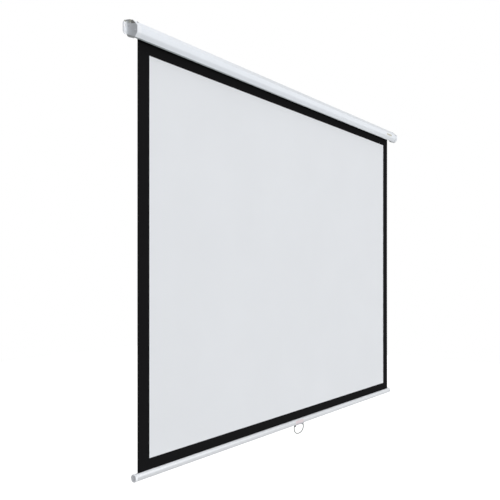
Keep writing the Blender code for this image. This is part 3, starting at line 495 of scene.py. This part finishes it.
slot_of = {part["node"]: part["material_slot"] for part in frame["record"]["subparts"]}
for name, node in nodes.items():
    if not node.material_slots:
        node.data.materials.append(None)
    for material_slot in node.material_slots:
        material_slot.material = finishes[slot_of[name]]


# Making pieces


def piece(name, mesh, materials, body, replaces=()):
    """Links a finished bmesh as a piece that rides on a body."""
    bmesh.ops.recalc_face_normals(mesh, faces=mesh.faces)
    data = bpy.data.meshes.new(name)
    mesh.to_mesh(data)
    mesh.free()
    data.shade_smooth()
    data.set_sharp_from_angle(angle=SMOOTH_BELOW)
    for material in materials:
        data.materials.append(material)
    made = bpy.data.objects.new(name, data)
    bpy.context.scene.collection.objects.link(made)
    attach(made, body)
    if replaces:
        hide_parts(*replaces)
    return made


def evenly(low, high, count):
    return [low + (high - low) * index / count for index in range(count + 1)]


def polar(radius, angle):
    return radius * math.cos(angle), radius * math.sin(angle)


def strip(mesh, rows):
    """Faces between rows of vertices."""
    made = []
    for first, second in zip(rows, rows[1:]):
        for index in range(len(first) - 1):
            corners = (first[index], first[index + 1], second[index + 1], second[index])
            made.append(mesh.faces.new(corners))
    return made


def edge_faces(mesh, skin, other):
    """Faces round the edge between two skins with as many rows and columns."""
    made = []
    for end in (0, -1):
        made += strip(mesh, [skin[end], other[end]])
        made += strip(mesh, [[row[end] for row in skin], [row[end] for row in other]])
    return made


def ring_faces(mesh, first, second):
    """Faces between two closed rings, of which either may be a single point."""
    count = max(len(first), len(second))
    for index in range(count):
        after = (index + 1) % count
        corners = [first[index % len(first)], first[after % len(first)]]
        corners += [second[after % len(second)], second[index % len(second)]]
        mesh.faces.new(dict.fromkeys(corners))


def spun(mesh, profile, sides):
    """Spins (along, radius) points about the X axis, and returns the last ring."""
    last = None
    for along, radius in profile:
        turns = [2 * math.pi * index / sides for index in range(sides if radius else 1)]
        ring = [mesh.verts.new((along, *polar(radius, angle))) for angle in turns]
        if last:
            ring_faces(mesh, last, ring)
        last = ring
    return last


# Cloth


def hanging_cloth():
    """The sheet that hangs, with the picture and its printed border on the front."""
    low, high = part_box("screen_cloth")
    middle = (low.y + high.y) / 2
    left, right = low.x, high.x
    columns = evenly(left, left + SIDE_BORDER, BORDER_STEPS)
    columns += evenly(left + SIDE_BORDER, right - SIDE_BORDER, PICTURE_COLUMNS)[1:]
    columns += evenly(right - SIDE_BORDER, right, BORDER_STEPS)[1:]
    rows = evenly(low.z, PICTURE_BOTTOM, LOWER_STEPS)
    rows += evenly(PICTURE_BOTTOM, PICTURE_TOP, PICTURE_ROWS)[1:]
    rows += evenly(PICTURE_TOP, HANGS_FROM, BORDER_STEPS)[1:]

    def backward(x, z):
        """How far it stands behind its plane, away from the roll: slow waves, curled edges."""
        hang = math.sin(math.pi * (z - low.z) / (high.z - low.z))
        wave = WAVE_DEPTH * (1 + math.sin(2 * math.pi * x / WAVE_LENGTH + WAVE_START))
        curl = CURL_DEPTH * math.exp(-min(x - left, right - x) / CURL_REACH)
        return (wave + curl) * hang

    mesh = bmesh.new()
    front, back = (
        [[mesh.verts.new((x, middle + offset + backward(x, z), z)) for x in columns] for z in rows]
        for offset in (-CLOTH_THICKNESS / 2, CLOTH_THICKNESS / 2)
    )
    border, picture, rear = range(3)
    for face in strip(mesh, front):
        centre = face.calc_center_median()
        across = left + SIDE_BORDER < centre.x < right - SIDE_BORDER
        in_picture = across and PICTURE_BOTTOM < centre.z < PICTURE_TOP
        face.material_index = picture if in_picture else border
    for face in strip(mesh, back) + edge_faces(mesh, front, back):
        face.material_index = rear
    materials = [printed_border, finishes["picture_cloth"], finishes["border_cloth"]]
    cloth = piece(
        "hanging_cloth", mesh, materials, "case", replaces=["screen_cloth"]
    )
    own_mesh(cloth)


def cloth_turns():
    """The turns that stay on the roller, as one wound sheet."""
    low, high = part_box("cloth_roll")
    tube_low, tube_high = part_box("roller_tube")
    centre = (tube_low + tube_high) / 2
    start = high.y - centre.y - CLOTH_THICKNESS / 2
    across = evenly(low.x, high.x, ROLL_COLUMNS)
    turns = evenly(0, ROLL_TURNS, round(STEPS_PER_TURN * ROLL_TURNS))
    mesh = bmesh.new()
    skins = []
    for offset in (CLOTH_THICKNESS / 2, -CLOTH_THICKNESS / 2):
        rows = []
        for turn in turns:
            y, z = polar(start - ROLL_PITCH * turn + offset, 2 * math.pi * turn)
            rows.append([mesh.verts.new((x, centre.y + y, centre.z + z)) for x in across])
        strip(mesh, rows)
        skins.append(rows)
    edge_faces(mesh, *skins)
    wound = piece(
        "cloth_turns",
        mesh,
        [finishes["border_cloth"]],
        "roller",
        replaces=["cloth_roll"],
    )


# Plate and label, both bare


def rounded_corners(width, height, radius):
    """The outline of a rounded rectangle round the origin."""
    points = []
    for quarter, (x, z) in enumerate(((1, 1), (-1, 1), (-1, -1), (1, -1))):
        centre = Vector((x * (width / 2 - radius), z * (height / 2 - radius)))
        for step in range(CORNER_STEPS + 1):
            angle = math.pi / 2 * (quarter + step / CORNER_STEPS)
            points.append(centre + Vector(polar(radius, angle)))
    return points


def raised_plate(name, size, base, proud, material):
    """A plate near the right end of the case's front; base is how far out it starts."""
    low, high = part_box("case_profile")
    middle = (low.z + high.z) / 2 - PLATE_DROP
    back, face = low.y - base, low.y - base - proud
    outline = rounded_corners(*size, CORNER_RADIUS)
    mesh = bmesh.new()
    rings = []
    for depth, share in ((back - PLATE_GAP, 1), (face + proud / 3, 1), (face, FACE_SHARE)):
        places = [(PLATE_X + share * x, depth, middle + share * z) for x, z in outline]
        rings.append([mesh.verts.new(place) for place in places])
    for first, second in zip(rings, rings[1:]):
        ring_faces(mesh, first, second)
    for end in (0, -1):
        mesh.faces.new(rings[end])
    piece(name, mesh, [material], "case")


def bar_label():
    """A blank label round the bar's front, over the handle."""
    low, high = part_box("bar_tube")
    centre = (low + high) / 2
    radius = (high.z - low.z) / 2
    across = evenly(*LABEL_SPAN, LABEL_COLUMNS)
    mesh = bmesh.new()
    skins = []
    for lift in LABEL_SKINS:
        rows = []
        for angle in evenly(*LABEL_ANGLES, LABEL_ROWS):
            forward, up = polar(radius + lift, angle)
            rows.append([mesh.verts.new((x, centre.y - forward, centre.z + up)) for x in across])
        strip(mesh, rows)
        skins.append(rows)
    edge_faces(mesh, *skins)
    piece("bar_label", mesh, [blank_label], "bottom_bar")


# Small fasteners


def screw_measures(node, direction):
    """A plain screw's middle on top, length, head height, head radius and shank radius."""
    points = [vertex.co for vertex in nodes[node].data.vertices]
    along = [point.dot(direction) for point in points]
    top, foot = max(along), min(along)
    on_top = [point for point, reach in zip(points, along) if reach > top - 1e-5]
    middle = sum(on_top, Vector()) / len(on_top)
    radii = [(point - middle).cross(direction).length for point in points]
    head = max(radii)
    shank = max(radius for radius, reach in zip(radii, along) if reach < (top + foot) / 2)
    under = min(reach for radius, reach in zip(radii, along) if radius > 0.98 * head)
    return middle, top - foot, top - under, head, shank


def recessed_screw(name, node, direction, body, slot, material=None):
    """A pan-head screw with a cross recess, in the place of its plain node."""
    direction = Vector(direction)
    middle, length, height, head, shank = screw_measures(node, direction)
    profile = [(-length, 0), (-length + SHANK_POINT * shank, shank), (-height, shank)]
    profile += [(-height * down, head * out) for down, out in HEAD_PROFILE]
    mesh = bmesh.new()
    last = spun(mesh, profile, SCREW_SIDES)
    for share in DOME_RINGS:
        ring = []
        for index in range(SCREW_SIDES):
            y, z = polar(head * share, 2 * math.pi * index / SCREW_SIDES)
            depth = HEAD_DOME * share
            if share < RECESS_REACH and min(abs(y), abs(z)) < head * RECESS_HALF_WIDTH:
                depth += RECESS_DEPTH * (1 - RECESS_SLOPE * share)
            ring.append(mesh.verts.new((-height * depth, y, z)))
        ring_faces(mesh, last, ring)
        last = ring
    ring_faces(mesh, last, [mesh.verts.new((-height * RECESS_DEPTH, 0, 0))])
    turn = Vector((1, 0, 0)).rotation_difference(direction)
    for vertex in mesh.verts:
        vertex.co = turn @ vertex.co + middle
    piece(name, mesh, [material or finishes[slot]], body, replaces=[node])


def grommet(name, side):
    """A dark bush round the handle's wire, on a lug's outer face."""
    low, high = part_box("handle_saddle")
    bar_low, bar_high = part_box("bar_tube")
    face = high.x if side > 0 else low.x
    pivot = Vector((face, (bar_low.y + bar_high.y) / 2, low.z + PIVOT_RISE))
    outline = [
        (BUSH_GAP, BUSH_BORE),
        (BUSH_GAP, BUSH_RADIUS),
        (BUSH_THICKNESS - BUSH_CHAMFER, BUSH_RADIUS),
        (BUSH_THICKNESS, BUSH_RADIUS - BUSH_CHAMFER),
        (BUSH_THICKNESS, BUSH_BORE),
        (BUSH_GAP, BUSH_BORE),
    ]
    mesh = bmesh.new()
    spun(mesh, outline, BUSH_SIDES)
    bmesh.ops.remove_doubles(mesh, verts=mesh.verts, dist=1e-7)
    for vertex in mesh.verts:
        along, y, z = vertex.co
        vertex.co = pivot + Vector((side * along, y, z))
    piece(name, mesh, [grommet_rubber], "bottom_bar")


cloth_turns()
hanging_cloth()
raised_plate("plate_rim", RIM_SIZE, 0, RIM_PROUD, plate_rim)
raised_plate("case_plate", PLATE_SIZE, RIM_PROUD, PLATE_PROUD, blank_plate)
bar_label()
for side, hand in ((-1, "left"), (1, "right")):
    for level in ("upper", "lower"):
        node = f"{hand}_{level}_screw"
        recessed_screw(f"{node}_head", node, (side, 0, 0), "case", "bracket_paint", head_paint_in_painted_shade)
    grommet(f"{hand}_grommet", side)
for number in (1, 2):
    name, node = f"saddle_screw_head_{number}", f"saddle_screw_{number}"
    recessed_screw(name, node, (0, 0, -1), "bottom_bar", "dark_screw_steel")


# Camera, light and floor


def add_camera():
    data = bpy.data.cameras.new("camera")
    data.lens = FOCAL_LENGTH
    data.sensor_width = SENSOR_WIDTH
    data.shift_y = CAMERA_SHIFT
    data.clip_end = SEEN_TO
    camera = bpy.data.objects.new("camera", data)
    camera.location = CAMERA_PLACE
    camera.rotation_euler = (math.radians(90), 0, CAMERA_HEADING)
    bpy.context.scene.collection.objects.link(camera)
    bpy.context.scene.camera = camera


def sun(name, toward, strength, spread):
    """A distant soft light that shines along a direction; its spread is in degrees."""
    data = bpy.data.lights.new(name, "SUN")
    data.energy = strength
    data.angle = math.radians(spread)
    light = bpy.data.objects.new(name, data)
    light.rotation_euler = Vector(toward).to_track_quat("-Z", "Y").to_euler()
    bpy.context.scene.collection.objects.link(light)


def seen_or_mirrored(tree):
    """1 for rays from the camera, in reflections and through glass; 0 for light on the object."""
    path = tree.nodes.new("ShaderNodeLightPath")
    share = path.outputs["Is Camera Ray"]
    for kind in ("Is Glossy Ray", "Is Transmission Ray"):
        either = tree.nodes.new("ShaderNodeMath")
        either.operation = "MAXIMUM"
        tree.links.new(share, either.inputs[0])
        tree.links.new(path.outputs[kind], either.inputs[1])
        share = either.outputs["Value"]
    return share


def add_studio():
    """A world that looks white and lights the object from all round, a little more from above."""
    world = bpy.data.worlds.new("studio")
    world.use_nodes = True
    bpy.context.scene.world = world
    tree = world.node_tree
    direction = tree.nodes.new("ShaderNodeSeparateXYZ")
    coordinates = tree.nodes.new("ShaderNodeTexCoord")
    tree.links.new(coordinates.outputs["Generated"], direction.inputs["Vector"])
    height = tree.nodes.new("ShaderNodeMapRange")
    height.inputs["From Min"].default_value = LIGHT_CHANGES[0]
    height.inputs["From Max"].default_value = LIGHT_CHANGES[1]
    tree.links.new(direction.outputs["Z"], height.inputs["Value"])
    light = tree.nodes.new("ShaderNodeMix")
    light.data_type = "RGBA"
    light.inputs["A"].default_value = LIGHT_FROM_BELOW
    light.inputs["B"].default_value = LIGHT_FROM_ABOVE
    tree.links.new(height.outputs["Result"], light.inputs["Factor"])
    either = tree.nodes.new("ShaderNodeMix")
    either.data_type = "RGBA"
    either.inputs["B"].default_value = (1, 1, 1, 1)
    tree.links.new(light.outputs["Result"], either.inputs["A"])
    tree.links.new(seen_or_mirrored(tree), either.inputs["Factor"])
    tree.links.new(either.outputs["Result"], tree.nodes["Background"].inputs["Color"])


def floor_surface():
    """A pale floor that glows white to the camera and in reflections."""
    material = bpy.data.materials.new("pale_floor")
    material.use_nodes = True
    tree = material.node_tree
    shader = tree.nodes["Principled BSDF"]
    shader.inputs["Base Color"].default_value = FLOOR_COLOUR
    shader.inputs["Roughness"].default_value = 0.9
    shader.inputs["Specular IOR Level"].default_value = 0.1
    glow = tree.nodes.new("ShaderNodeEmission")
    glow.inputs["Strength"].default_value = FLOOR_GLOW
    both = tree.nodes.new("ShaderNodeAddShader")
    tree.links.new(shader.outputs["BSDF"], both.inputs[0])
    tree.links.new(glow.outputs["Emission"], both.inputs[1])
    either = tree.nodes.new("ShaderNodeMixShader")
    tree.links.new(seen_or_mirrored(tree), either.inputs["Fac"])
    tree.links.new(shader.outputs["BSDF"], either.inputs[1])
    tree.links.new(both.outputs["Shader"], either.inputs[2])
    surface = tree.nodes["Material Output"].inputs["Surface"]
    tree.links.new(either.outputs["Shader"], surface)
    return material


def add_floor():
    mesh = bmesh.new()
    bmesh.ops.create_grid(mesh, x_segments=1, y_segments=1, size=FLOOR_HALF)
    data = bpy.data.meshes.new("floor")
    mesh.to_mesh(data)
    mesh.free()
    data.materials.append(floor_surface())
    floor = bpy.data.objects.new("floor", data)
    floor.location.z = FLOOR_Z
    floor.visible_shadow = False
    bpy.context.scene.collection.objects.link(floor)


add_camera()
sun("key", toward=(0.05, 1, 0.18), strength=1.6, spread=30)
sun("top", toward=(0.2, 0.5, -1), strength=0.7, spread=50)
add_studio()
add_floor()
bpy.context.scene.view_settings.view_transform = "Standard"
